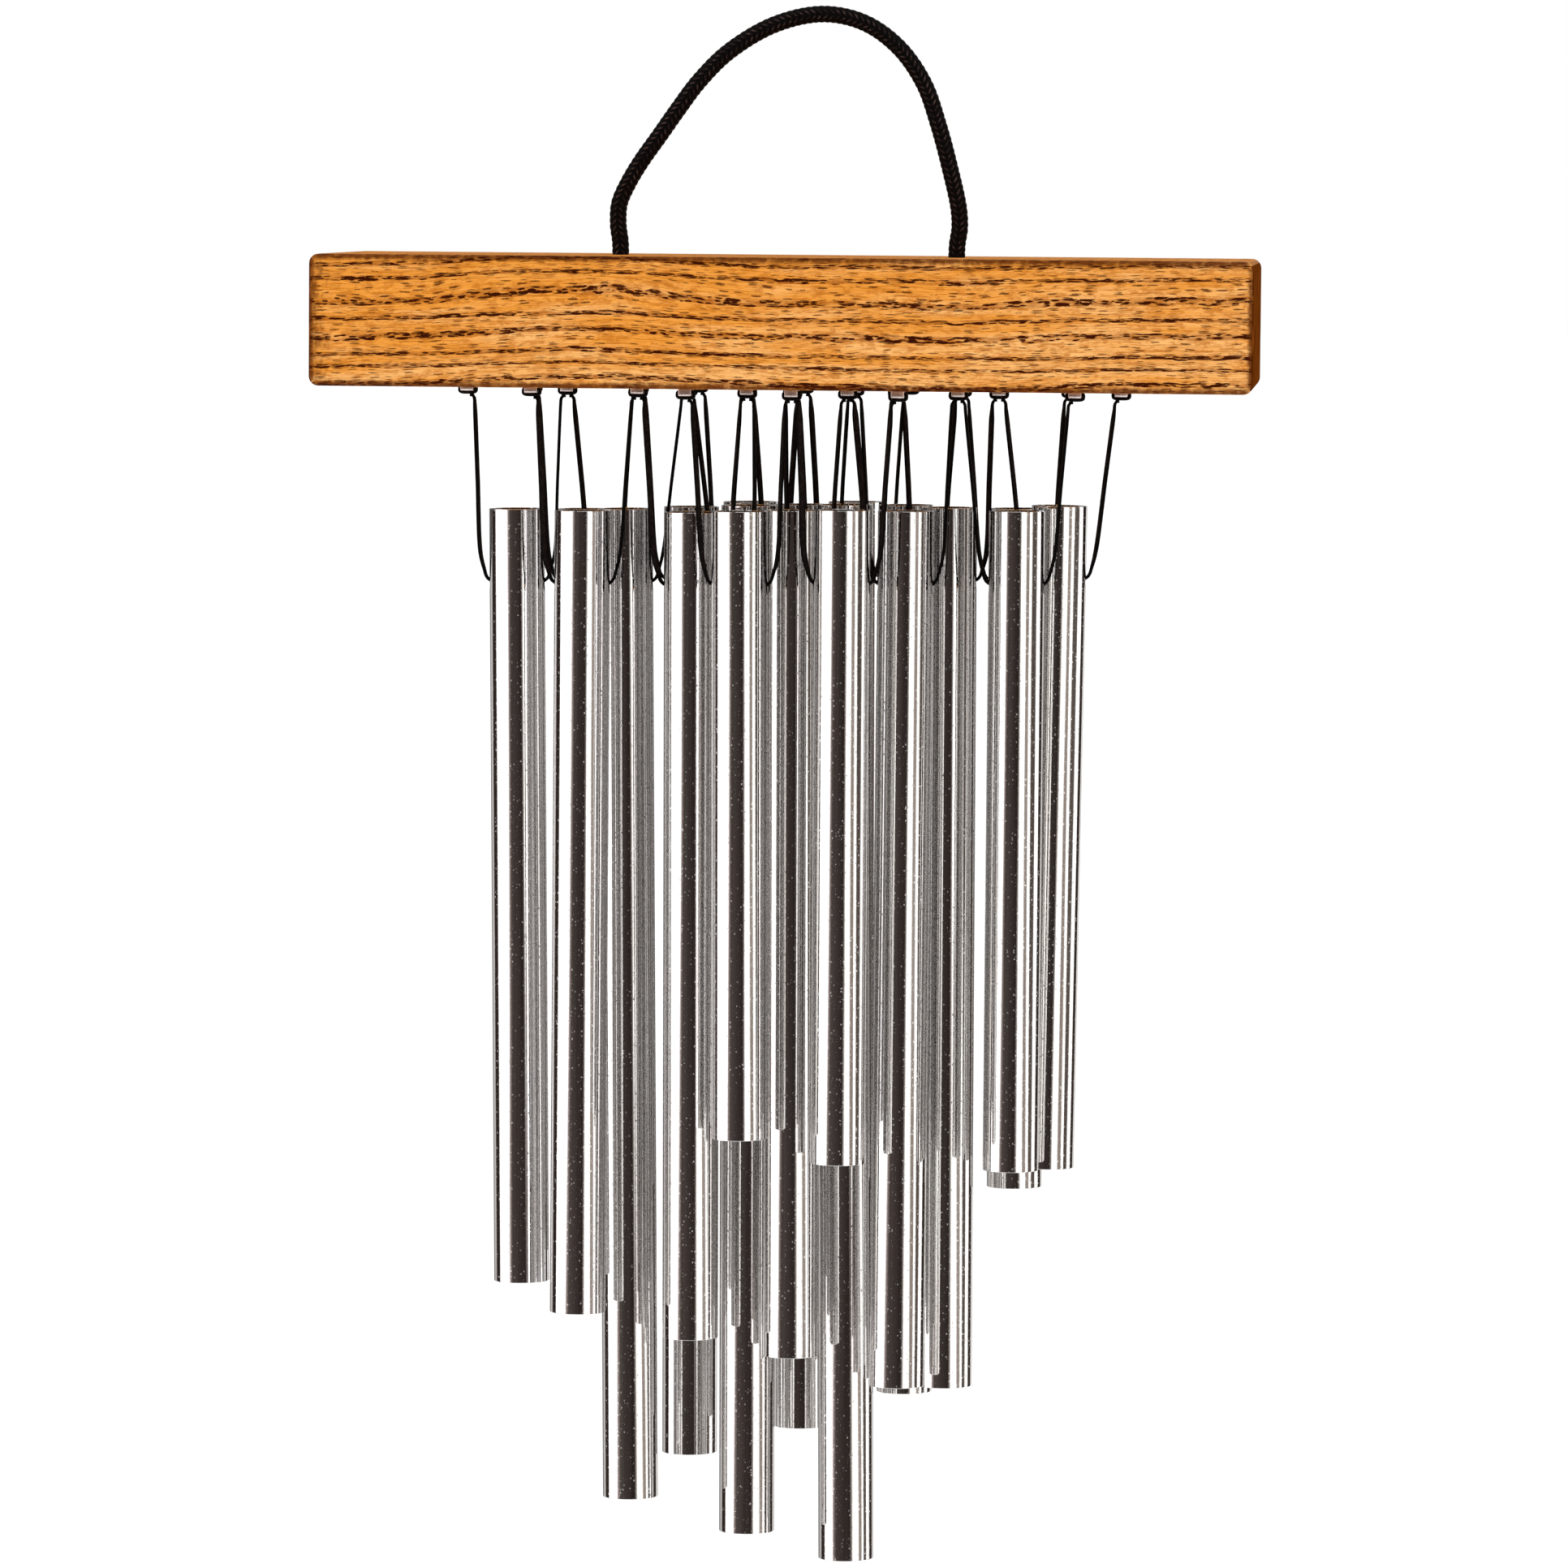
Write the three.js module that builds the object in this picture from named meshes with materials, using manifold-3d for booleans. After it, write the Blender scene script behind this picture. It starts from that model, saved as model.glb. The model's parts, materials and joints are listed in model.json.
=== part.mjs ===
// A cluster wind chime: twenty metal tubes hang in five staggered rows under a
// flat hardwood bar, which hangs from a braided cord loop.
//
// Millimetres. +X runs along the bar, +Y towards its back, +Z up. The origin is
// where a hook bears on the loop: the underside of the cord at its highest point.
import * as THREE from "three";
import { mergeVertices } from "three/addons/utils/BufferGeometryUtils.js";
import Module from "manifold-3d";

// ---- Driving dimensions -------------------------------------------------

const BAR_LENGTH = 158.75;
const BAR_DEPTH = 63.5;
const BAR_HEIGHT = 22.2;
const BAR_CORNER_R = 1.6; // round of the outline seen from the front
const BAR_EDGE_R = 0.9; // round of the front and back edges

const LOOP_CORD_D = 3.0;
const LOOP_HOLE_LEFT = -29.8; // the loop's two holes, either side of the middle
const LOOP_HOLE_RIGHT = 28.0;
const LOOP_HOLE_D = 3.8;
const LOOP_HOLE_DEPTH = 12.5;
const LOOP_END_PROUD = 0.2; // how far the glued ends stand out of the bar
const LOOP_START_RISE = 2.0; // the free loop starts here, and the cord bends midway between the two

// The loop's centreline in the bar's middle plane: [x, height above the bar].
const LOOP_ROUTE = [
  [LOOP_HOLE_LEFT, LOOP_START_RISE],
  [-30.2, 5.2],
  [-30.0, 8.8],
  [-28.5, 12.3],
  [-26.3, 16.0],
  [-23.2, 20.4],
  [-20.0, 25.0],
  [-16.5, 29.7],
  [-11.4, 34.8],
  [-3.5, 39.5],
  [4.7, 41.3],
  [11.7, 39.9],
  [17.6, 35.8],
  [22.0, 29.7],
  [24.6, 22.6],
  [26.6, 15.4],
  [28.2, 8.4],
  [28.4, 5.0],
  [LOOP_HOLE_RIGHT, LOOP_START_RISE],
];
const LOOP_APEX = [4.7, 41.3];

const TUBE_D = 9.525;
const TUBE_WALL = 0.9;
const TUBE_HOLE_D = 2.4; // cross hole for the lace
const TUBE_HOLE_BELOW_TOP = 13.0;
const TUBE_SIDES = 20;

const ROW_SPACING = 12.0;
const TUBE_PITCH = 18.5;

// Each row from left to right: [x, gap under the bar, length, lean in degrees].
// A positive lean carries the lower end towards +X. A row's staples stand midway between its
// tubes, or half a pitch outside them, moved along X by its nudges.
const ROWS = [
  { name: "a", y: -2 * ROW_SPACING, tubes: [
    [-7.0, 20.6, 106.4, 0.4],
    [10.4, 20.2, 110.7, 0.1],
  ] },
  { name: "b", y: -ROW_SPACING, nudges: [0.4, 0, 0.7, -0.4, -0.7, 0.4], tubes: [
    [-34.8, 21.2, 137.5, 0.0],
    [-16.1, 21.3, 141.5, 0.3],
    [1.1, 20.8, 144.8, 0.3],
    [20.4, 20.7, 149.7, -0.1],
    [39.3, 20.5, 112.5, 0.0],
  ] },
  { name: "c", y: 0, nudges: [0.7, -0.7, 0, -0.8, 0, -1.1, 1.1], tubes: [
    [-47.4, 21.5, 133.6, 0.7],
    [-28.7, 21.3, 171.1, 0.7],
    [-7.3, 20.5, 177.5, 0.3],
    [9.0, 20.2, 182.2, 0.6],
    [27.1, 20.5, 151.5, 0.2],
    [46.0, 20.0, 113.8, -0.6],
  ] },
  { name: "d", y: ROW_SPACING, tubes: [
    [-36.8, 21.9, 129.0, 0.3],
    [-18.3, 21.3, 165.0, 0.3],
    [0.8, 20.7, 160.6, 0.4],
    [18.9, 20.6, 154.3, 0.4],
    [38.0, 21.0, 117.7, 0.4],
  ] },
  { name: "e", y: 2 * ROW_SPACING, tubes: [
    [-9.0, 20.8, 125.0, 0.3],
    [9.4, 20.6, 121.4, 0.3],
  ] },
];
const ROWS_WITH_STAPLES = ["a", "b", "c"]; // the two rear rows get theirs with the finish

const LACE_D = 0.9;
const LACE_IN_HOLE = 0.25; // the lace bears on the upper edge of the cross hole
const LACE_END_GAP = 0.35; // the lace stops this far from the middle of a staple

const STAPLE_WIRE_W = 2.2; // along X
const STAPLE_WIRE_T = 0.5;
const STAPLE_CROWN = 4.4; // along Y, outside
const STAPLE_PROUD = 1.3; // crown's lower face under the bar
const STAPLE_LEG = 5.0; // depth of the legs in the wood
const FIT_GAP = 0.3;
const LACE_TOP_Z = -(STAPLE_PROUD + FIT_GAP + LACE_D / 2);

const CORD_SIDES = 8;

const wood = new THREE.MeshStandardMaterial({ color: 0xd9943f, roughness: 0.45, metalness: 0 });
const tubeMetal = new THREE.MeshStandardMaterial({ color: 0xd6d3d0, roughness: 0.12, metalness: 1 });
const stapleMetal = new THREE.MeshStandardMaterial({ color: 0xcfc4ba, roughness: 0.3, metalness: 1 });
const braid = new THREE.MeshStandardMaterial({ color: 0x120f0d, roughness: 0.7, metalness: 0 });
const lace = new THREE.MeshStandardMaterial({ color: 0x0b0908, roughness: 0.6, metalness: 0 });

// ---- Solids -------------------------------------------------------------

const wasm = await Module();
wasm.setup();

/** A manifold solid from a closed three.js geometry. */
function solidOf(geometry) {
  const bare = geometry.index ? geometry.toNonIndexed() : geometry.clone();
  bare.deleteAttribute("normal");
  bare.deleteAttribute("uv");
  const merged = mergeVertices(bare, 1e-4);
  return new wasm.Manifold(new wasm.Mesh({
    numProp: 3,
    vertProperties: new Float32Array(merged.attributes.position.array),
    triVerts: new Uint32Array(merged.index.array),
  }));
}

/** A three.js geometry from a manifold solid. */
function geometryOf(solid) {
  const mesh = solid.getMesh();
  const geometry = new THREE.BufferGeometry();
  geometry.setAttribute("position", new THREE.BufferAttribute(new Float32Array(mesh.vertProperties), 3));
  geometry.setIndex(new THREE.BufferAttribute(new Uint32Array(mesh.triVerts), 1));
  geometry.computeVertexNormals();
  return geometry;
}

/** The geometry with every cutter taken out of it. */
function cutBy(geometry, cutters) {
  return geometryOf(cutters.reduce((solid, cutter) => solid.subtract(solidOf(cutter)), solidOf(geometry)));
}

/** A curve sampled at its own points, so that steps are short only where the route bends. */
class PointedCurve extends THREE.CatmullRomCurve3 {
  getSpacedPoints(divisions) {
    return this.getPoints(divisions);
  }

  getTangentAt(u, target) {
    return this.getTangent(u, target);
  }
}

/** A closed round cord along a list of points, one step from each point to the next. */
function cordAlong(points, diameter) {
  const section = new THREE.Shape();
  for (let side = 0; side < CORD_SIDES; side++) {
    const angle = (side / CORD_SIDES) * 2 * Math.PI;
    const corner = [(diameter / 2) * Math.cos(angle), (diameter / 2) * Math.sin(angle)];
    if (side === 0) section.moveTo(...corner);
    else section.lineTo(...corner);
  }
  const extrudePath = new PointedCurve(points, false, "centripetal");
  return new THREE.ExtrudeGeometry(section, { steps: points.length - 1, bevelEnabled: false, extrudePath });
}

/** A rectangle in the drawing plane with round corners. */
function roundedRectangle(width, height, radius) {
  const shape = new THREE.Shape();
  const [x, y] = [width / 2 - radius, height / 2 - radius];
  shape.absarc(x, -y, radius, -Math.PI / 2, 0);
  shape.absarc(x, y, radius, 0, Math.PI / 2);
  shape.absarc(-x, y, radius, Math.PI / 2, Math.PI);
  shape.absarc(-x, -y, radius, Math.PI, 1.5 * Math.PI);
  return shape;
}

/** An upright square cutter for one staple leg, open under the bar. */
function legSlot(x, y) {
  const depth = STAPLE_LEG + FIT_GAP;
  const slot = new THREE.BoxGeometry(STAPLE_WIRE_W + 2 * FIT_GAP, STAPLE_WIRE_T + 2 * FIT_GAP, 2 * depth);
  return slot.translate(x, y, 0);
}

/** An upright cutter for one end of the loop, open at the bar's top. */
function loopHole(x) {
  const hole = new THREE.CylinderGeometry(LOOP_HOLE_D / 2, LOOP_HOLE_D / 2, 2 * LOOP_HOLE_DEPTH, 16);
  return hole.rotateX(Math.PI / 2).translate(x, 0, BAR_HEIGHT);
}

/** The bar, its underside at z = 0, with the loop's holes and the staples' slots. */
function barGeometry(staples) {
  const outline = roundedRectangle(
    BAR_LENGTH - 2 * BAR_EDGE_R, BAR_HEIGHT - 2 * BAR_EDGE_R, BAR_CORNER_R - BAR_EDGE_R / 2);
  const block = new THREE.ExtrudeGeometry(outline, {
    depth: BAR_DEPTH - 2 * BAR_EDGE_R, curveSegments: 3, steps: 1,
    bevelEnabled: true, bevelSize: BAR_EDGE_R, bevelThickness: BAR_EDGE_R, bevelSegments: 2,
  });
  block.translate(0, 0, -(BAR_DEPTH - 2 * BAR_EDGE_R) / 2).rotateX(Math.PI / 2);
  block.translate(0, 0, BAR_HEIGHT / 2);
  const legY = STAPLE_CROWN / 2 - STAPLE_WIRE_T / 2;
  const slots = staples.flatMap(({ x, y }) => [legSlot(x, y - legY), legSlot(x, y + legY)]);
  return cutBy(block, [loopHole(LOOP_HOLE_LEFT), loopHole(LOOP_HOLE_RIGHT), ...slots]);
}

/** One flat-wire staple, its crown running front to back under z = 0. */
function stapleGeometry() {
  const [half, inner] = [STAPLE_CROWN / 2, STAPLE_CROWN / 2 - STAPLE_WIRE_T];
  const outline = new THREE.Shape();
  outline.moveTo(-half, STAPLE_LEG);
  outline.lineTo(-half, -STAPLE_PROUD + STAPLE_WIRE_T);
  outline.absarc(-inner, -STAPLE_PROUD + STAPLE_WIRE_T, STAPLE_WIRE_T, Math.PI, 1.5 * Math.PI);
  outline.absarc(inner, -STAPLE_PROUD + STAPLE_WIRE_T, STAPLE_WIRE_T, 1.5 * Math.PI, 2 * Math.PI);
  outline.lineTo(half, STAPLE_LEG);
  outline.lineTo(inner, STAPLE_LEG);
  outline.lineTo(inner, -STAPLE_PROUD + STAPLE_WIRE_T);
  outline.lineTo(-inner, -STAPLE_PROUD + STAPLE_WIRE_T);
  outline.lineTo(-inner, STAPLE_LEG);
  const geometry = new THREE.ExtrudeGeometry(outline, {
    depth: STAPLE_WIRE_W, curveSegments: 2, steps: 1, bevelEnabled: false });
  // The drawing's axes become Y and Z, and the extrusion runs along X.
  return geometry.translate(0, 0, -STAPLE_WIRE_W / 2).rotateX(Math.PI / 2).rotateZ(Math.PI / 2);
}

/** One open tube, its top at z = 0, with the cross hole along X. */
function tubeGeometry(length) {
  const [outer, inner] = [TUBE_D / 2, TUBE_D / 2 - TUBE_WALL];
  const profile = [[inner, -length], [outer, -length], [outer, 0], [inner, 0], [inner, -length]];
  const wall = new THREE.LatheGeometry(profile.map(([r, z]) => new THREE.Vector2(r, z)), TUBE_SIDES);
  wall.rotateX(Math.PI / 2);
  const drill = new THREE.CylinderGeometry(TUBE_HOLE_D / 2, TUBE_HOLE_D / 2, 2 * TUBE_D, CORD_SIDES);
  drill.rotateZ(Math.PI / 2).translate(0, 0, -TUBE_HOLE_BELOW_TOP);
  return cutBy(wall, [drill]);
}

/** The lace's points on one side of a tube, from its staple down to the tube's wall. */
function laceSide(tube, stapleX, side) {
  const wall = TUBE_D / 2;
  const [from, to] = [stapleX - side * 1.18, tube.holeX + side * (wall + 1.65)];
  const [high, low] = [LACE_TOP_Z - 1.4, tube.laceZ + 5.2];
  return [
    [stapleX - side * LACE_END_GAP, LACE_TOP_Z],
    [stapleX - side * 0.85, LACE_TOP_Z - 0.08],
    [stapleX - side * 1.1, LACE_TOP_Z - 0.5],
    [from, high],
    [(from + to) / 2, (high + low) / 2],
    [to, low],
    [tube.holeX + side * (wall + 1.0), tube.laceZ + 2.4],
    [tube.holeX + side * (wall + 0.4), tube.laceZ + 0.75],
    [tube.holeX + side * (wall - 1.1), tube.laceZ],
  ];
}

/** The lace of one tube: down from the left staple, through the tube and up to the right one. */
function laceGeometry(tube) {
  const left = laceSide(tube, tube.stapleLeft, -1);
  const right = laceSide(tube, tube.stapleRight, 1).reverse();
  const points = [...left, ...right].map(([x, z]) => new THREE.Vector3(x, tube.y, z));
  return cordAlong(points, LACE_D);
}

/** The free part of the loop, and the two ends glued into the bar. */
function loopGeometry() {
  const points = LOOP_ROUTE.map(([x, z]) => new THREE.Vector3(x, 0, BAR_HEIGHT + z));
  return cordAlong(points, LOOP_CORD_D);
}

function loopEndGeometry(x) {
  const length = LOOP_HOLE_DEPTH - FIT_GAP + LOOP_END_PROUD;
  const end = new THREE.CylinderGeometry(LOOP_CORD_D / 2, LOOP_CORD_D / 2, length, 12);
  return end.rotateX(Math.PI / 2).translate(x, 0, BAR_HEIGHT + LOOP_END_PROUD - length / 2);
}

// ---- Layout -------------------------------------------------------------

/** The X of each of a row's staples, from left to right. */
function stapleXsOf({ tubes, nudges }) {
  const xs = tubes.map(([x]) => x);
  const between = xs.slice(1).map((x, i) => (x + xs[i]) / 2);
  const places = [xs[0] - TUBE_PITCH / 2, ...between, xs.at(-1) + TUBE_PITCH / 2];
  return places.map((x, i) => x + (nudges?.[i] ?? 0));
}

/** A row's tubes, each with the places of its two staples and of its cross hole. */
function tubesOf(row) {
  const stapleXs = stapleXsOf(row);
  return row.tubes.map(([x, drop, length, lean], i) => {
    const tilt = THREE.MathUtils.degToRad(lean);
    return {
      name: `${row.name}${i + 1}`, x, y: row.y, drop, length, tilt,
      stapleLeft: stapleXs[i], stapleRight: stapleXs[i + 1],
      holeX: x + TUBE_HOLE_BELOW_TOP * Math.sin(tilt),
      laceZ: -drop - TUBE_HOLE_BELOW_TOP + LACE_IN_HOLE,
    };
  });
}

/** A row's staples: one at the left of each tube and one at the right of the last. */
function staplesOf(row) {
  return stapleXsOf(row).map((x, i) => ({ name: `staple_${row.name}${i + 1}`, x, y: row.y }));
}

function meshOf(name, geometry, material) {
  const mesh = new THREE.Mesh(geometry, material);
  mesh.name = name;
  return mesh;
}

const staples = ROWS.filter((row) => ROWS_WITH_STAPLES.includes(row.name)).flatMap(staplesOf);

// Everything hangs in the bar's frame: its middle, at the height of its underside.
const barFrame = new THREE.Group();
barFrame.position.set(-LOOP_APEX[0], 0, LOOP_CORD_D / 2 - LOOP_APEX[1] - BAR_HEIGHT);
barFrame.add(meshOf("bar", barGeometry(staples), wood));
barFrame.add(meshOf("hanging_loop", loopGeometry(), braid));
barFrame.add(meshOf("loop_end_left", loopEndGeometry(LOOP_HOLE_LEFT), braid));
barFrame.add(meshOf("loop_end_right", loopEndGeometry(LOOP_HOLE_RIGHT), braid));

for (const { name, x, y } of staples) {
  const staple = meshOf(name, stapleGeometry(), stapleMetal);
  staple.position.set(x, y, 0);
  barFrame.add(staple);
}

for (const tube of ROWS.flatMap(tubesOf)) {
  const pipe = meshOf(`tube_${tube.name}`, tubeGeometry(tube.length), tubeMetal);
  pipe.position.set(tube.x, tube.y, -tube.drop);
  pipe.rotation.y = -tube.tilt;
  barFrame.add(pipe, meshOf(`lace_${tube.name}`, laceGeometry(tube), lace));
}

const windChime = new THREE.Group();
windChime.add(barFrame);

export default windChime;
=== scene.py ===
"""A cluster wind chime, finished around its fixed frame.

Twenty polished tubes hang on flat laces from wire staples under a varnished oak bar, and the bar
hangs from a braided cord loop. Everything is in metres, in the frame's axes: +X along the bar,
+Y towards its back, +Z up, with the origin where a hook bears on the loop.
"""

from __future__ import annotations

import json
import logging
import math
from collections.abc import Callable, Iterator, Sequence
from contextlib import contextmanager
from dataclasses import dataclass, field
from enum import Enum
from typing import Any, Union

import bmesh
import bpy
from mathutils import Matrix, Vector

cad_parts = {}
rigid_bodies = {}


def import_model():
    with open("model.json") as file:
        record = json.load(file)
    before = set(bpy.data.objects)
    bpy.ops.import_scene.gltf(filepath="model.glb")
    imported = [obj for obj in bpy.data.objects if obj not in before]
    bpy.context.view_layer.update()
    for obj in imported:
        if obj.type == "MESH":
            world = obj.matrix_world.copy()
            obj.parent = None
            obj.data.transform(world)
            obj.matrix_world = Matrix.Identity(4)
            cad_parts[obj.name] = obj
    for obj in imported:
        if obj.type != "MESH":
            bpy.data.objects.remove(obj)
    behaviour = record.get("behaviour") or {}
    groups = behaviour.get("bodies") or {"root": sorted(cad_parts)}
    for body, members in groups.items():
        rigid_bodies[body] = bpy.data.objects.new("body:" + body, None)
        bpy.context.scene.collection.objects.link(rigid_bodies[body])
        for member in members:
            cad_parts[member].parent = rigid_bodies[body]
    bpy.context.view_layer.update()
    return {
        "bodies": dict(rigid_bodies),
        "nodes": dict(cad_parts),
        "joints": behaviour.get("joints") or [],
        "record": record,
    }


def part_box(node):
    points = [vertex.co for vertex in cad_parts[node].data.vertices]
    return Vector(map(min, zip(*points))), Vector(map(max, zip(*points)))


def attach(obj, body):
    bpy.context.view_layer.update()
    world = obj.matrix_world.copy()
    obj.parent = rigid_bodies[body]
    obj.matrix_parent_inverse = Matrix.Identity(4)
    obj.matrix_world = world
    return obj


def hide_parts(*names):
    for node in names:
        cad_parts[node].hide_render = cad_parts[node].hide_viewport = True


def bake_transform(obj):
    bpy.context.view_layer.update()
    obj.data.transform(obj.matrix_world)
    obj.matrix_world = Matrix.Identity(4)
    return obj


LOG = logging.getLogger("wind_chime")
MM = 0.001
NEARLY_ZERO = 1e-6


class Side(Enum):
    """The two sides of a tube, as the sign of X."""

    LEFT = -1
    RIGHT = 1


class Domain(Enum):
    """What a selection in edit mode is made of."""

    EDGES = "EDGE"
    FACES = "FACE"


class Slot(Enum):
    """The record's material slots."""

    BAR = "bar_wood"
    TUBE = "tube_metal"
    STAPLE = "staple_metal"
    LOOP = "loop_cord"
    LACE = "lace"


# ---- Modelling helpers ---------------------------------------------------------------------------


def deselect() -> None:
    """Deselects every object."""
    bpy.ops.object.select_all(action="DESELECT")


def take(piece: bpy.types.Object) -> None:
    """Makes one object the only selected and the active one."""
    deselect()
    piece.select_set(True)
    bpy.context.view_layer.objects.active = piece


@contextmanager
def edited(piece: bpy.types.Object) -> Iterator[None]:
    """Puts one piece in edit mode with nothing on it selected, and takes it out again.

    Args:
        piece: The mesh object to edit.
    """
    take(piece)
    bpy.ops.object.mode_set(mode="EDIT")
    bpy.ops.mesh.select_all(action="DESELECT")
    yield
    bpy.ops.object.mode_set(mode="OBJECT")


def pick(piece: bpy.types.Object, domain: Domain, test: Callable[[Any], bool]) -> None:
    """Selects the edges or faces of a piece in edit mode that pass a test.

    Args:
        piece: The mesh object, in edit mode.
        domain: Whether edges or faces are picked.
        test: Says whether one edge or face is picked.
    """
    bpy.ops.mesh.select_mode(type=domain.value)
    sheet = bmesh.from_edit_mesh(piece.data)
    items = sheet.edges if domain is Domain.EDGES else sheet.faces
    for item in items:
        item.select_set(test(item))
    bmesh.update_edit_mesh(piece.data)


def modified(piece: bpy.types.Object, kind: str, **settings: Any) -> None:
    """Adds one modifier to a piece and applies it.

    Args:
        piece: The mesh object.
        kind: The modifier's type.
        **settings: The modifier's own settings.
    """
    take(piece)
    modifier = piece.modifiers.new(kind.lower(), kind)
    for name, value in settings.items():
        setattr(modifier, name, value)
    bpy.ops.object.modifier_apply(modifier=modifier.name)


def rounded(piece: bpy.types.Object, width: float, segments: int) -> None:
    """Rounds a piece's sharp edges.

    Args:
        piece: The mesh object.
        width: The width taken off each edge.
        segments: How many faces make up the rounding.
    """
    sharp = math.radians(60.0)
    modified(piece, "BEVEL", width=width, segments=segments, limit_method="ANGLE", angle_limit=sharp)


def smooth(piece: bpy.types.Object, angle: float) -> None:
    """Shades a piece smooth except across edges sharper than an angle in degrees."""
    take(piece)
    bpy.ops.object.shade_smooth_by_angle(angle=math.radians(angle))


def settle(piece: bpy.types.Object) -> None:
    """Applies a new primitive's place, turn and scale to its mesh."""
    take(piece)
    bpy.ops.object.transform_apply(location=True, rotation=True, scale=True)


def drilled(
    piece: bpy.types.Object, place: Sequence[float], diameter: float, length: float, sides: int,
    tilt: float = 0.0,
) -> None:
    """Cuts one round hole into a piece.

    Args:
        piece: The mesh object.
        place: The middle of the bit.
        diameter: The bit's diameter.
        length: The bit's length.
        sides: How many sides the bit has.
        tilt: The bit's turn about Y in radians; without one it is upright.
    """
    deselect()
    bpy.ops.mesh.primitive_cylinder_add(
        vertices=sides, radius=diameter / 2, depth=length, location=place, rotation=(0.0, tilt, 0.0)
    )
    bit = bpy.context.object
    settle(bit)
    modified(piece, "BOOLEAN", object=bit, operation="DIFFERENCE", solver="EXACT")
    bpy.data.objects.remove(bit)


def copy_of(piece: bpy.types.Object, name: str) -> bpy.types.Object:
    """A copy of a piece with a mesh of its own.

    Args:
        piece: The mesh object to copy.
        name: The copy's name.

    Returns:
        The new object, linked to the scene.
    """
    twin = piece.copy()
    twin.data = piece.data.copy()
    twin.name = name
    twin.data.name = name
    bpy.context.scene.collection.objects.link(twin)
    return twin


def flattened_curve(points: Sequence[Vector], step: float) -> list[Vector]:
    """A centripetal Catmull-Rom curve through some points, cut into nearly equal steps.

    Args:
        points: The points that the curve goes through.
        step: The length of one step.

    Returns:
        The points along the curve, both ends among them.
    """
    ends = [2 * points[0] - points[1], *points, 2 * points[-1] - points[-2]]
    line = [points[0].copy()]
    for before, start, finish, after in zip(ends, ends[1:], ends[2:], ends[3:]):
        knots = [0.0]
        for a, b in ((before, start), (start, finish), (finish, after)):
            knots.append(knots[-1] + math.sqrt((b - a).length))
        count = max(1, round((finish - start).length / step))
        for i in range(1, count + 1):
            at = knots[1] + (knots[2] - knots[1]) * i / count
            a1 = before.lerp(start, at / knots[1])
            a2 = start.lerp(finish, (at - knots[1]) / (knots[2] - knots[1]))
            a3 = finish.lerp(after, (at - knots[2]) / (knots[3] - knots[2]))
            b1 = a1.lerp(a2, at / knots[2])
            b2 = a2.lerp(a3, (at - knots[1]) / (knots[3] - knots[1]))
            line.append(b1.lerp(b2, (at - knots[1]) / (knots[2] - knots[1])))
    return line


def length_of(line: Sequence[Vector]) -> float:
    """The length of a line through some points."""
    return sum((b - a).length for a, b in zip(line, line[1:]))


Outline = Callable[[float, float], tuple[float, float, float]]


def swept(name: str, line: Sequence[Vector], sides: int, outline: Outline) -> bpy.types.Object:
    """A closed skin swept along a line that lies in one upright plane of constant Y.

    Args:
        name: The piece's name.
        line: The centres of the rings.
        sides: How many points a ring has.
        outline: Gives the offset along Y, the offset across the line in its own plane, and a
            height from 0 to 1 that is kept as the attribute "ridge", for a place given as a
            fraction of the way round and as millimetres along.

    Returns:
        The new object, with a UV map of turns and millimetres.
    """
    depth_axis = Vector((0.0, 1.0, 0.0))
    places: list[Vector] = []
    ridges: list[float] = []
    alongs: list[float] = []
    along = 0.0
    for i, centre in enumerate(line):
        if i > 0:
            along += (centre - line[i - 1]).length / MM
        tangent = (line[min(i + 1, len(line) - 1)] - line[max(i - 1, 0)]).normalized()
        across_axis = tangent.cross(depth_axis).normalized()
        alongs.append(along)
        for side in range(sides):
            depth, across, ridge = outline(side / sides, along)
            places.append(centre + depth * depth_axis + across * across_axis)
            ridges.append(ridge)
    faces: list[tuple[int, ...]] = []
    maps: list[tuple[float, float]] = []
    for i in range(len(line) - 1):
        this, following = i * sides, (i + 1) * sides
        for side in range(sides):
            after = (side + 1) % sides
            faces.append((this + side, this + after, following + after, following + side))
            u, v = side / sides, (side + 1) / sides
            maps += [(u, alongs[i]), (v, alongs[i]), (v, alongs[i + 1]), (u, alongs[i + 1])]
    last = (len(line) - 1) * sides
    faces.append(tuple(reversed(range(sides))))
    faces.append(tuple(last + side for side in range(sides)))
    maps += [(side / sides, 0.0) for side in reversed(range(sides))]
    maps += [(side / sides, along) for side in range(sides)]
    mesh = bpy.data.meshes.new(name)
    mesh.from_pydata(places, [], faces)
    unwrap = mesh.uv_layers.new(name="turns")
    for corner, place in zip(unwrap.data, maps):
        corner.uv = place
    ridge_of = mesh.attributes.new("ridge", "FLOAT", "POINT")
    ridge_of.data.foreach_set("value", ridges)
    mesh.validate()
    piece = bpy.data.objects.new(name, mesh)
    bpy.context.scene.collection.objects.link(piece)
    with edited(piece):
        bpy.ops.mesh.select_all(action="SELECT")
        bpy.ops.mesh.normals_make_consistent(inside=False)
    return piece


def squared(part: float, power: float) -> float:
    """Pushes a circle's coordinate, from -1 to 1, towards a rounded rectangle's."""
    return math.copysign(abs(part) ** power, part)


# ---- Shader helpers ------------------------------------------------------------------------------


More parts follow.
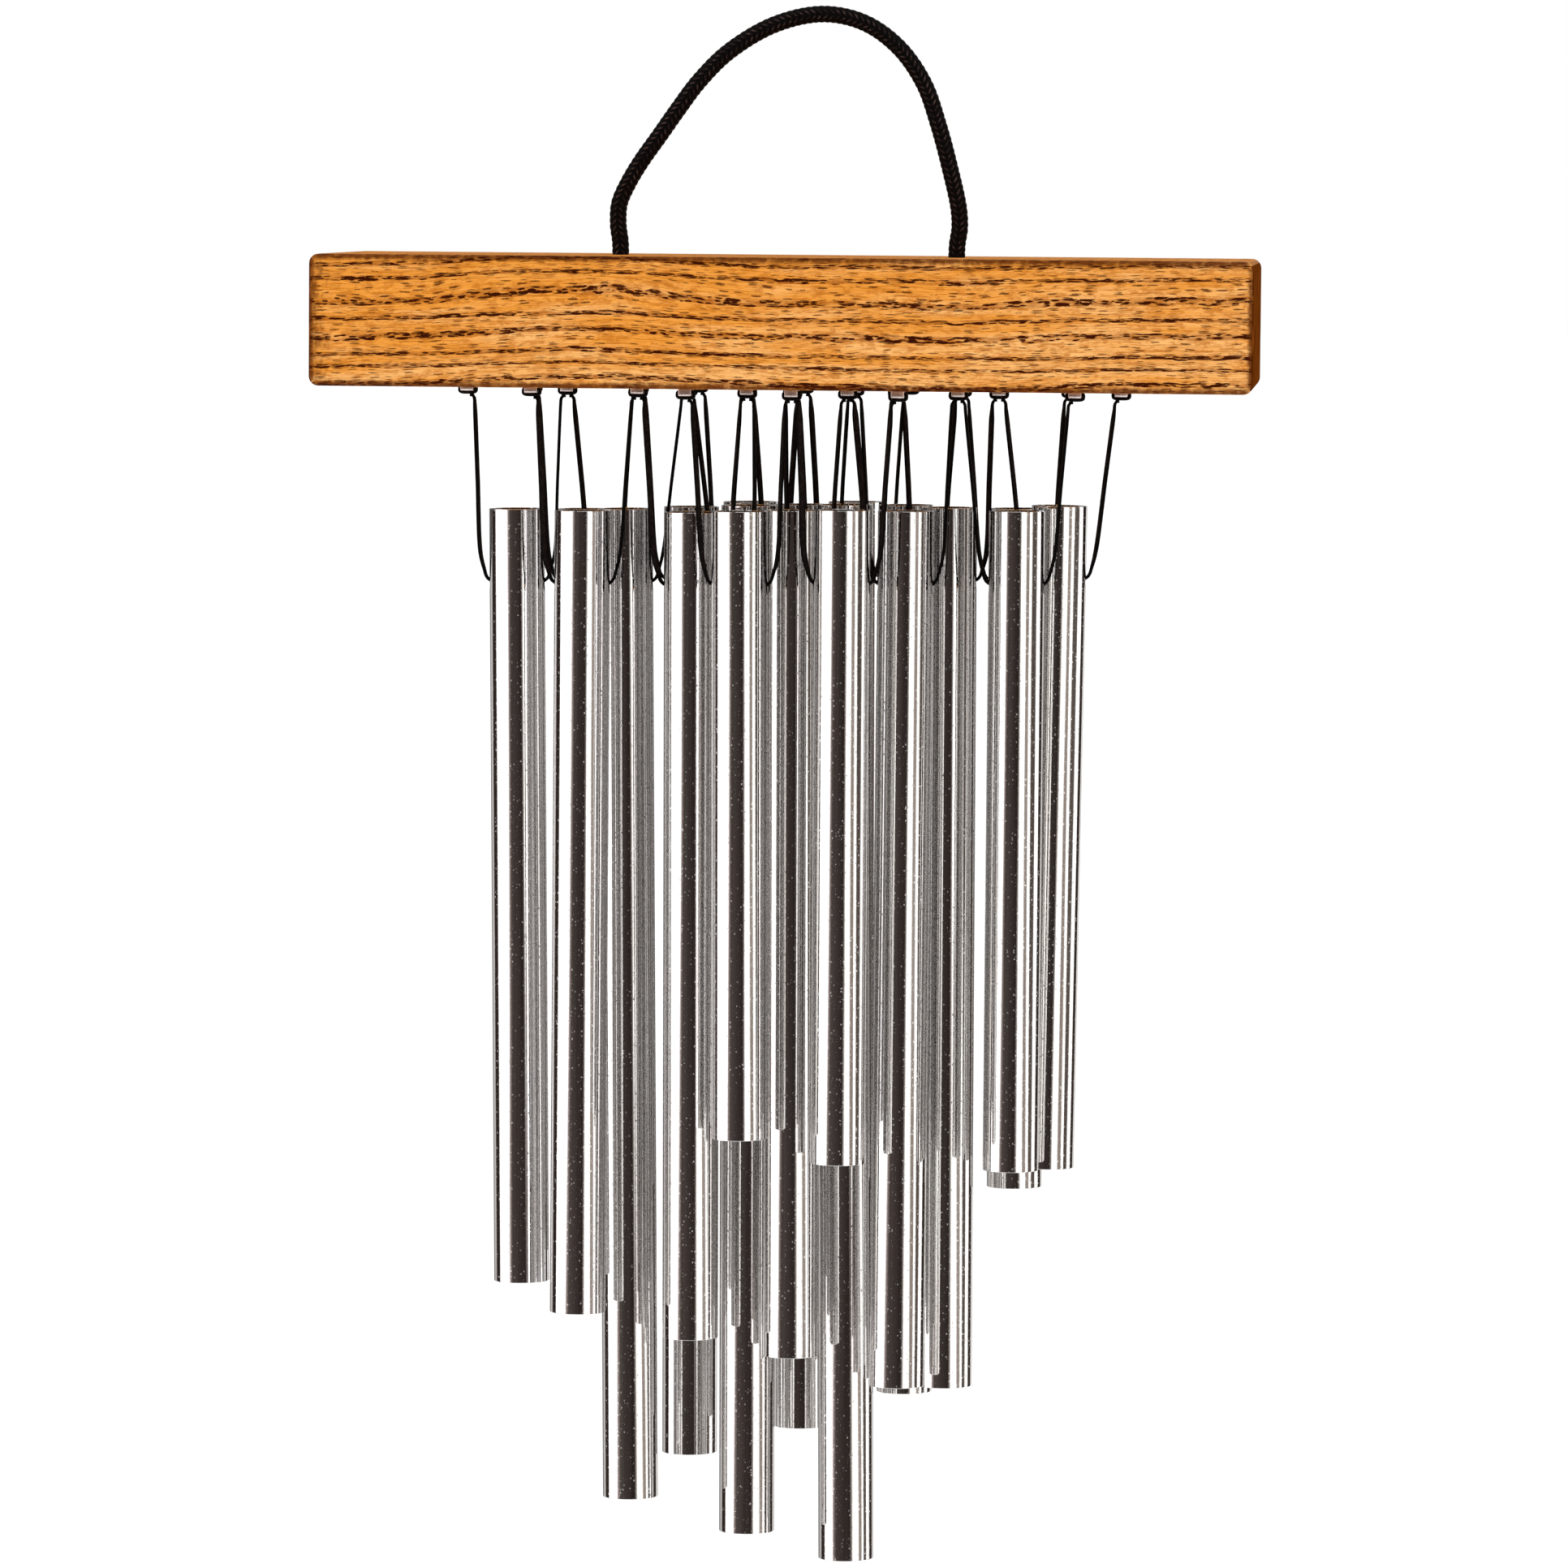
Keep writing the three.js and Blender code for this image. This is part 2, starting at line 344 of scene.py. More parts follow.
class Value:
    """One number that varies over a surface, with Python's arithmetic."""

    def __init__(self, shader: Shader, socket: bpy.types.NodeSocket) -> None:
        """Wraps an output socket of a shader's node."""
        self.shader = shader
        self.socket = socket

    def __add__(self, other: Number) -> Value:
        """This number plus another."""
        return self.shader.maths("ADD", self, other)

    __radd__ = __add__

    def __sub__(self, other: Number) -> Value:
        """This number less another."""
        return self.shader.maths("SUBTRACT", self, other)

    def __rsub__(self, other: Number) -> Value:
        """Another number less this one."""
        return self.shader.maths("SUBTRACT", other, self)

    def __mul__(self, other: Number) -> Value:
        """This number times another."""
        return self.shader.maths("MULTIPLY", self, other)

    __rmul__ = __mul__

    def __truediv__(self, other: Number) -> Value:
        """This number over another."""
        return self.shader.maths("DIVIDE", self, other)

    def __abs__(self) -> Value:
        """This number without its sign."""
        return self.shader.maths("ABSOLUTE", self)

    def at_least(self, other: Number) -> Value:
        """The larger of this number and another."""
        return self.shader.maths("MAXIMUM", self, other)

    def at_most(self, other: Number) -> Value:
        """The smaller of this number and another."""
        return self.shader.maths("MINIMUM", self, other)

    def fraction(self) -> Value:
        """What is left of this number above the whole number below it."""
        return self.shader.maths("FRACT", self)

    def ease(self, start: float, end: float) -> Value:
        """Turns smoothly from 0 at start to 1 at end, whichever of them is larger.

        Args:
            start: Where the result is 0.
            end: Where the result is 1.

        Returns:
            The eased number.
        """
        low, high = min(start, end), max(start, end)
        settings = {"interpolation_type": "SMOOTHSTEP"}
        inputs = {"Value": self, "From Min": low, "From Max": high}
        rising = Value(self.shader, self.shader.node("ShaderNodeMapRange", settings, inputs).outputs[0])
        return rising if end > start else 1 - rising


Number = Union[Value, float]
Place = tuple[Number, Number, Number]
Colour = tuple[float, float, float, float]


class Shader:
    """The nodes of one material around a Principled surface."""

    def __init__(self, name: str) -> None:
        """Starts a material with a Principled surface and nothing feeding it."""
        self.material = bpy.data.materials.new(name)
        self.material.use_nodes = True
        self.tree = self.material.node_tree
        self.tree.nodes.clear()
        self.surface = self.node("ShaderNodeBsdfPrincipled")
        self.node("ShaderNodeOutputMaterial", inputs={"Surface": self.surface.outputs[0]})

    def node(
        self, kind: str, settings: dict[str, Any] | None = None, inputs: dict[Any, Any] | None = None
    ) -> bpy.types.Node:
        """Adds one node, sets it up and fills its sockets.

        Args:
            kind: The node's type.
            settings: Its own settings; "stops" are a colour ramp's places and colours.
            inputs: A value, an output socket or a Value for each input socket, by name or number.

        Returns:
            The new node.
        """
        made = self.tree.nodes.new(kind)
        for name, value in (settings or {}).items():
            if name == "stops":
                self._fill_ramp(made.color_ramp, value)
            else:
                setattr(made, name, value)
        for name, value in (inputs or {}).items():
            self._fill(made.inputs[name], value)
        return made

    def _fill(self, socket: bpy.types.NodeSocket, value: Any) -> None:
        """Links an output to a socket, or sets the socket's own value."""
        if isinstance(value, Value):
            self.tree.links.new(value.socket, socket)
        elif isinstance(value, bpy.types.NodeSocket):
            self.tree.links.new(value, socket)
        else:
            socket.default_value = value

    @staticmethod
    def _fill_ramp(ramp: bpy.types.ColorRamp, stops: Sequence[tuple[float, Colour]]) -> None:
        """Gives a colour ramp its stops, from left to right."""
        while len(ramp.elements) < len(stops):
            ramp.elements.new(1.0)
        for element, (place, colour) in zip(ramp.elements, stops):
            element.position = place
            element.color = colour

    def finish(self, inputs: dict[str, Any]) -> bpy.types.Material:
        """Fills the surface's own sockets and gives the material back."""
        for name, value in inputs.items():
            self._fill(self.surface.inputs[name], value)
        return self.material

    def maths(self, operation: str, *values: Number) -> Value:
        """The result of one Math node."""
        made = self.node("ShaderNodeMath", {"operation": operation}, dict(enumerate(values)))
        return Value(self, made.outputs[0])

    def object_place(self) -> tuple[Value, Value, Value]:
        """X, Y and Z on the piece, in millimetres."""
        place = self.node("ShaderNodeTexCoord").outputs["Object"]
        scaled = self.node("ShaderNodeVectorMath", {"operation": "SCALE"}, {0: place, "Scale": 1 / MM})
        return self.split(scaled.outputs[0])

    def split(self, vector: bpy.types.NodeSocket) -> tuple[Value, Value, Value]:
        """A vector's three parts."""
        parts = self.node("ShaderNodeSeparateXYZ", inputs={0: vector})
        return Value(self, parts.outputs[0]), Value(self, parts.outputs[1]), Value(self, parts.outputs[2])

    def vector(self, x: Number, y: Number, z: Number) -> bpy.types.NodeSocket:
        """A vector made of three numbers."""
        return self.node("ShaderNodeCombineXYZ", inputs={0: x, 1: y, 2: z}).outputs[0]

    def noise(self, place: Place, detail: float = 2.0, roughness: float = 0.5) -> Value:
        """Cloudy noise about 0.5, one cloud to a unit of its place."""
        inputs = {"Vector": self.vector(*place), "Scale": 1.0, "Detail": detail, "Roughness": roughness}
        return Value(self, self.node("ShaderNodeTexNoise", inputs=inputs).outputs["Fac"])

    def cells(self, place: Place) -> tuple[Value, Value, bpy.types.NodeSocket]:
        """Scattered points, one to a unit cube.

        Args:
            place: Where on the piece, in units of the points' spacing.

        Returns:
            The distance to the nearest point, a random number of its own, and its place.
        """
        inputs = {"Vector": self.vector(*place), "Scale": 1.0, "Randomness": 1.0}
        made = self.node("ShaderNodeTexVoronoi", inputs=inputs)
        lot = self.split(made.outputs["Color"])[0]
        return Value(self, made.outputs["Distance"]), lot, made.outputs["Position"]

    def mixed(self, amount: Number, first: Any, second: Any) -> bpy.types.NodeSocket:
        """One colour turning into another."""
        made = self.node("ShaderNodeMix", {"data_type": "RGBA"}, {0: amount, 6: first, 7: second})
        return made.outputs[2]

    def bump(self, height: Value, distance: float, strength: float = 1.0) -> bpy.types.NodeSocket:
        """A normal tilted by a height from 0 to 1 that stands for a distance in millimetres."""
        inputs = {"Height": height, "Distance": distance * MM, "Strength": strength}
        return self.node("ShaderNodeBump", inputs=inputs).outputs[0]


# ---- Finishes ------------------------------------------------------------------------------------


@dataclass(frozen=True)
class OakFinish:
    """Oak tinted honey under satin varnish: rows of dark pores along the growth rings.

    Lengths are in millimetres on the piece.
    """

    low: Vector
    high: Vector
    ring_spacing: float = 2.75
    ring_tilt: float = 24.0
    row_half_width: float = 0.46
    honey: Colour = (0.88, 0.335, 0.047, 1.0)
    peach: Colour = (0.98, 0.51, 0.17, 1.0)
    amber: Colour = (0.50, 0.140, 0.008, 1.0)
    halo: Colour = (0.32, 0.072, 0.002, 1.0)
    pore: Colour = (0.045, 0.0055, 0.0002, 1.0)
    # the darker colour laid along the bar's edges and towards its left end
    darkened: Colour = (0.13, 0.028, 0.002, 1.0)

    def build(self) -> bpy.types.Material:
        """Makes the oak's material."""
        shader = Shader("varnished_oak")
        x, y, z = shader.object_place()
        ring = self._rings(shader, x, y, z)
        patch = shader.noise((x / 6.5, y / 5.0, ring / 1.5), 3.0, 0.6).ease(0.41, 0.50)
        bold = self._pores(shader, (x, y, ring), (2.7, 0.62, 0.34), 0.45, 0.14) * (patch * 0.90 + 0.10)
        small = self._pores(shader, (x + 37.0, y + 5.0, ring), (1.5, 0.42, 0.24), 0.42, 0.30)
        loose = self._loose_pores(shader, (x + 11.0, y, ring))
        pores = bold.at_least(small).at_least(loose * 0.8)
        halo = self._row(ring, 0.62) * shader.noise((x / 3.0, y / 1.0, ring / 0.35), 4.0, 0.65)
        fibre = shader.noise((x / 7.0, y / 0.30, ring / 0.13), 5.0, 0.68)
        cloud = shader.noise((x / 16.0, y / 9.0, ring / 1.8), 4.0)
        blotch = shader.noise((x / 1.6, y / 1.2, ring / 0.45), 4.0, 0.6)
        right = (x - self.low.x / MM) / ((self.high.x - self.low.x) / MM)
        down = (self.high.z / MM - z) / ((self.high.z - self.low.z) / MM)
        pale = (cloud * 1.7 + right * 0.26 + down * 0.34 - 0.74).ease(0.15, 0.85)
        colour = shader.mixed(pale, self.honey, self.peach)
        colour = shader.mixed(fibre.ease(0.50, 0.38) * 0.80, colour, self.amber)
        colour = shader.mixed(blotch.ease(0.54, 0.38) * 0.60, colour, self.amber)
        colour = shader.mixed(fibre.ease(0.54, 0.68) * 0.50, colour, self.peach)
        colour = shader.mixed(halo.ease(0.34, 0.60) * 0.62, colour, self.halo)
        # darker along the edges and mottled darker towards the left end
        darkening = self._darkening(shader, x, y, z)
        colour = shader.mixed(darkening, colour, self.darkened)
        colour = shader.mixed(pores, colour, self.pore)
        height = 1 - pores * 0.8 + fibre * 0.12
        return shader.finish({
            "Base Color": colour,
            "Roughness": 0.45 + pores * 0.3 + fibre * 0.08,
            "Specular IOR Level": 0.03,
            "Normal": shader.bump(height, 0.08, 0.6),
        })

    def _rings(self, shader: Shader, x: Value, y: Value, z: Value) -> Value:
        """Millimetres across the growth rings, which arch a little along the bar and wander."""
        tilt = math.radians(self.ring_tilt)
        from_end = x - self.low.x / MM
        arch = from_end.ease(4.0, 42.0) * 1.7 - from_end.ease(48.0, 80.0) * 1.2
        arch = arch + from_end.ease(105.0, 158.0) * 0.7
        wander = shader.noise((x / 34.0, y / 30.0, z / 16.0), 1.0) * 1.8
        ripple = shader.noise((x / 6.0, y / 8.0, z / 3.0), 3.0) * 0.55
        uneven = shader.noise((0.3, y / 25.0, z / 4.6), 0.0) * 2.9
        return z * math.cos(tilt) + y * math.sin(tilt) - arch + wander + ripple + uneven

    def _row(self, ring: Value, half_width: float) -> Value:
        """1 in the middle of a growth ring's row of pores, 0 a half width away."""
        away = abs((ring / self.ring_spacing).fraction() - 0.5) * self.ring_spacing
        return away.ease(half_width, half_width * 0.55)

    def _pores(
        self, shader: Shader, place: tuple[Value, Value, Value], size: tuple[float, float, float],
        radius: float, lot_from: float,
    ) -> Value:
        """Long dark pores in the rows.

        Args:
            shader: The material's nodes.
            place: Millimetres along the bar, through it and across the growth rings.
            size: The pores' spacing along, through and across.
            radius: A pore's radius as a share of that spacing.
            lot_from: The share of the pores that is left out.

        Returns:
            1 inside a pore and 0 outside.
        """
        distance, lot, centre = self._scattered(shader, place, size)
        in_row = self._row(shader.split(centre)[2] * size[2], self.row_half_width)
        shape = distance.ease(radius + 0.08, radius)
        return shape * in_row.ease(0.1, 0.6) * lot.ease(lot_from, lot_from + 0.05)

    def _loose_pores(self, shader: Shader, place: tuple[Value, Value, Value]) -> Value:
        """Thin pores between the rows: 1 inside one and 0 outside."""
        distance, lot, _ = self._scattered(shader, place, (2.8, 0.45, 0.28))
        return distance.ease(0.38, 0.28) * lot.ease(0.44, 0.52)

    @staticmethod
    def _scattered(
        shader: Shader, place: tuple[Value, Value, Value], size: tuple[float, float, float]
    ) -> tuple[Value, Value, bpy.types.NodeSocket]:
        """Scattered points with ragged surroundings: the distance, the lot and the place of the nearest."""
        x, y, ring = place
        along, through, across = size
        rough = shader.noise((x / 0.45, y / 0.3, ring / 0.10), 2.0) - 0.5
        distance, lot, centre = shader.cells((x / along, y / through, ring / across))
        return distance + rough * 0.36, lot, centre

    def _darkening(self, shader: Shader, x: Value, y: Value, z: Value) -> Value:
        """Darker along the edges and mottled darker towards the left end."""
        middle, half = (self.high + self.low) / (2 * MM), (self.high - self.low) / (2 * MM)
        inset = [half[i] - abs(at - middle[i]) for i, at in enumerate((x, y, z))]
        deepest = inset[0].at_least(inset[1]).at_least(inset[2])
        from_edge = inset[0] + inset[1] + inset[2] - deepest
        mottle = shader.noise((x / 1.1, y / 1.1, z / 1.6), 3.0)
        edge = (from_edge - mottle * 1.0).ease(0.85, -0.05) * 0.96
        left = (x - self.low.x / MM + mottle * 8.5).ease(7.6, 3.6) * 0.82
        return edge.at_least(left)


@dataclass(frozen=True)
class EndGrainFinish:
    """Dull dark end grain with paler streaks."""

    dark: Colour = (0.082, 0.016, 0.0009, 1.0)
    streak: Colour = (0.215, 0.054, 0.0060, 1.0)

    def build(self) -> bpy.types.Material:
        """Makes the end faces' material."""
        shader = Shader("oak_end_grain")
        _, y, z = shader.object_place()
        band = shader.noise((y / 0.9, z / 3.5, 0.4), 4.0, 0.6)
        pith = shader.noise((y / 0.25, z / 0.25, 0.8), 1.0)
        amount = (band * 0.8 + pith * 0.2).ease(0.42, 0.64)
        return shader.finish({
            "Base Color": shader.mixed(amount, self.dark, self.streak),
            "Roughness": 0.9,
            "Specular IOR Level": 0.0,
        })


@dataclass(frozen=True)
class TubeFinish:
    """Polished drawn metal with fine pits, draw lines and a few hairline scratches."""

    metal: Colour = (0.94, 0.93, 0.925, 1.0)
    drawn_line: Colour = (0.50, 0.45, 0.41, 1.0)

    def build(self) -> bpy.types.Material:
        """Makes the tubes' material."""
        shader = Shader("polished_tube_metal")
        x, y, z = shader.object_place()
        crowd = shader.noise((x / 9.0, y / 9.0, z / 14.0), 2.0).ease(0.36, 0.62)
        pits = self._pits(shader, (x, y, z), 0.55, 0.70 - crowd * 0.25)
        fine = self._pits(shader, (x + 31.0, y, z), 0.32, 0.60 - crowd * 0.30)
        grain = shader.noise((x / 0.24, y / 0.24, z / 0.34), 2.0, 0.6)
        ragged = shader.noise((x / 0.6, y / 0.6, z / 0.7), 2.0, 0.6)
        scratch_distance, scratch_lot, _ = shader.cells(
            ((x + z * 0.55) / 2.6, y / 2.6, (z - x * 0.3) / 9.6 + x * 4.0)
        )
        scratches = scratch_distance.ease(0.10, 0.03) * scratch_lot.ease(0.78, 0.84)
        drawn = shader.noise((x / 0.62, y / 0.62, z / 90.0), 3.0, 0.6)
        marks = pits.at_least(fine * 0.6).at_least(scratches)
        return shader.finish({
            "Base Color": shader.mixed(drawn.ease(0.47, 0.60) * 0.38, self.metal, self.drawn_line),
            "Metallic": 1.0,
            "Roughness": 0.012 + grain.ease(0.56, 0.70) * 0.12 + marks * 0.42,
            "Normal": shader.bump(ragged + marks * 0.4, 0.0028, 1.0),
        })

    @staticmethod
    def _pits(shader: Shader, place: tuple[Value, Value, Value], spacing: float, lot_from: Value) -> Value:
        """Small dull pits.

        Args:
            shader: The material's nodes.
            place: Millimetres on the piece.
            spacing: The pits' spacing in millimetres.
            lot_from: The share of the pits that is left out.

        Returns:
            1 in a pit's middle and 0 outside.
        """
        x, y, z = place
        rough = shader.noise((x / 0.16, y / 0.16, z / 0.2), 1.0) - 0.5
        distance, lot, _ = shader.cells((x / spacing, y / spacing, z / (spacing * 1.3)))
        kept = ((lot - lot_from) * 12.0).at_most(1.0).at_least(0.0)
        return (distance + rough * 0.3).ease(0.32, 0.14) * kept


@dataclass(frozen=True)
class StapleFinish:
    """Bright plated wire, lightly brushed, with a pinkish tint painted in as the reflection of the orange
    wood above it.
    """

    # painted reflection: both colours carry a pink tint for the orange wood that the wire mirrors; the
    # brightness is the wire's own
    metal: Colour = (0.90, 0.76, 0.72, 1.0)
    dull: Colour = (0.62, 0.48, 0.44, 1.0)

    def build(self) -> bpy.types.Material:
        """Makes the staples' material."""
        shader = Shader("staple_wire")
        x, y, z = shader.object_place()
        brush = shader.noise((x / 0.08, y / 1.6, z / 1.2), 3.0)
        return shader.finish({
            "Base Color": shader.mixed(brush.ease(0.45, 0.7), self.metal, self.dull),
            "Metallic": 1.0,
            "Roughness": 0.30 + brush * 0.15,
            "Normal": shader.bump(brush, 0.02, 0.6),
        })


@dataclass(frozen=True)
class CordFinish:
    """Black braided or woven cord, with painted shade in the hollows between its threads and a faint brown
    highlight painted on its high threads.

    The yarn sizes are in turns round the cord and in millimetres along it.
    """

    name: str
    thread: Colour
    # painted shade: the colour of the hollows between the threads
    valley_shade: Colour
    # painted highlight: the brown sheen laid on the high threads
    ridge_highlight: Colour
    yarn: tuple[float, float]
    roughness: float
    relief: float

    def build(self) -> bpy.types.Material:
        """Makes the cord's material, which follows its own UV map and ridges."""
        shader = Shader(self.name)
        turn, along, _ = shader.split(shader.node("ShaderNodeTexCoord").outputs["UV"])
        ridge = Value(shader, shader.node("ShaderNodeAttribute", {"attribute_name": "ridge"}).outputs["Fac"])
        turns, step = self.yarn
        yarn = shader.noise((turn * turns, along / step, 0.5), 2.0, 0.6)
        fluff = shader.noise((turn * 9.0, along / 1.9, 3.5), 3.0)
        # painted shade: the hollows between the threads are darker than their crowns
        colour = shader.mixed(ridge.ease(0.25, 0.85), self.valley_shade, self.thread)
        # painted highlight: a brown sheen on the highest threads
        painted_highlight = ridge.ease(0.60, 1.0) * (yarn * 0.7 + fluff * 0.5).ease(0.50, 0.78)
        colour = shader.mixed(painted_highlight, colour, self.ridge_highlight)
        return shader.finish({
            "Base Color": colour,
            "Roughness": self.roughness + yarn * 0.2,
            "Specular IOR Level": 0.07,
            "Normal": shader.bump(yarn, self.relief, 0.8),
        })


# ---- The frame's own places ----------------------------------------------------------------------


@dataclass(frozen=True)
class TubeSeat:
    """One tube's place in the frame, and its two staples."""

    name: str
    top: Vector
    foot: Vector
    staple_left: float
    staple_right: float
    hole_below_top: float = 13.0 * MM

    @property
    def body(self) -> str:
        """The frame body that the tube and its lace swing with."""
        return f"chime_{self.name}"

    @property
    def down(self) -> Vector:
        """The direction from the tube's top to its foot."""
        return (self.foot - self.top).normalized()

    @property
    def hole(self) -> Vector:
        """The middle of the cross hole."""
        return self.top + self.hole_below_top * self.down


def rim_centre(node: bpy.types.Object, upper: bool) -> Vector:
    """The middle of a tube node's upper or lower rim.

    Args:
        node: The tube's node in the frame.
        upper: Whether the upper rim is meant.

    Returns:
        The middle of that rim.
    """
    rim_height = 0.3 * MM
    points = {tuple(round(part, 6) for part in vertex.co) for vertex in node.data.vertices}
    edge = (max if upper else min)(point[2] for point in points)
    rim = [Vector(point) for point in points if abs(point[2] - edge) < rim_height]
    return sum(rim, Vector()) / len(rim)


def seats_of(frame: dict[str, Any]) -> list[TubeSeat]:
    """Every tube's seat, read from the frame's tubes and staples, row by row.

    The frame has no staples in its two rear rows: theirs stand midway between the tubes.


    Returns:
        The seats in order of their names.
    """
    end_reach = 9.25 * MM
    rims: dict[str, tuple[Vector, Vector]] = {}
    staples: dict[str, float] = {}
    for name in sorted(frame["nodes"]):
        if name.startswith("tube_"):
            node = frame["nodes"][name]
            rims[name.removeprefix("tube_")] = (rim_centre(node, True), rim_centre(node, False))
        elif name.startswith("staple_"):
            low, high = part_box(name)
            staples[name.removeprefix("staple_")] = (low[0] + high[0]) / 2
    seats = []
    for name, (top, foot) in rims.items():
        row, number = name[0], int(name[1:])
        before = rims.get(f"{row}{number - 1}")
        after = rims.get(f"{row}{number + 1}")
        left = (before[0].x + top.x) / 2 if before else top.x - end_reach
        right = (after[0].x + top.x) / 2 if after else top.x + end_reach
        left = staples.get(name, left)
        right = staples.get(f"{row}{number + 1}", right)
        seats.append(TubeSeat(name, top, foot, left, right))
    return seats


# ---- Sub-assemblies ------------------------------------------------------------------------------


@dataclass
class HangingLoop:
    """The braided cord: a loop whose two ends are glued into the bar's top.

    The route is in millimetres: X from the bar's middle, and the height above the bar.
    """

    bar_low: Vector
    bar_high: Vector
    diameter: float = 3.0 * MM
    hole_depth: float = 12.2
    straight_depth: float = 6.0
    strands: int = 8
    strand_power: float = 0.6
    column_dip: float = 0.55
    stitch: float = 1.05
    relief: float = 0.17 * MM
    sides: int = 48
    step: float = 0.2 * MM
    route: tuple[tuple[float, float], ...] = (
        (-29.8, 2.0), (-30.2, 5.2), (-30.0, 8.8), (-28.5, 12.3), (-26.3, 16.0), (-23.2, 20.4),
        (-20.0, 25.0), (-16.5, 29.7), (-11.4, 34.8), (-3.5, 39.5), (4.7, 41.3), (11.7, 39.9),
        (17.6, 35.8), (22.0, 29.7), (24.6, 22.6), (26.6, 15.4), (28.2, 8.4), (28.4, 5.0), (28.0, 2.0),
    )

    def build(self, finish: bpy.types.Material) -> None:
        """Makes the loop and lays it across the hinge above the bar.

        Args:
            finish: The cord's material.
        """
        line = self._line()
        loop = swept("braided_loop", line, self.sides, self._braid)
        smooth(loop, 60.0)
        loop.data.materials.append(finish)
        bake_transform(loop)
        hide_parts("hanging_loop", "loop_end_left", "loop_end_right")
        length_of(line)
        LOG.info("braided loop: %.0f mm of cord", length_of(line) / MM)

    def _middle(self) -> float:
        """X at the bar's middle."""
        return (self.bar_low.x + self.bar_high.x) / 2

    def _line(self) -> list[Vector]:
        """The cord's centreline, from inside one hole to inside the other."""
        depths = (-self.hole_depth, -self.straight_depth)
        first, last = self.route[0][0], self.route[-1][0]
        route = [(first, depth) for depth in depths] + [*self.route]
        route += [(last, depth) for depth in reversed(depths)]
        place = Vector((self._middle(), 0.0, self.bar_high.z))
        return flattened_curve([place + Vector((x * MM, 0.0, z * MM)) for x, z in route], self.step)

    def _braid(self, turn: float, along: float) -> tuple[float, float, float]:
        """The braid's surface: columns of strands that slant one way and then the other."""
        column = turn * self.strands
        slant = 1 if int(column) % 2 == 0 else -1
        strand = (column + slant * along / self.stitch) % 1.0
        crown = 0.5 - 0.5 * math.cos(2 * math.pi * strand)
        over = 1.0 - self.column_dip * (2.0 * (column % 1.0) - 1.0) ** 2
        ridge = crown ** self.strand_power * over
        radius = self.diameter / 2 - self.relief * (1.0 - ridge)
        angle = 2 * math.pi * turn
        return radius * math.cos(angle), radius * math.sin(angle), ridge


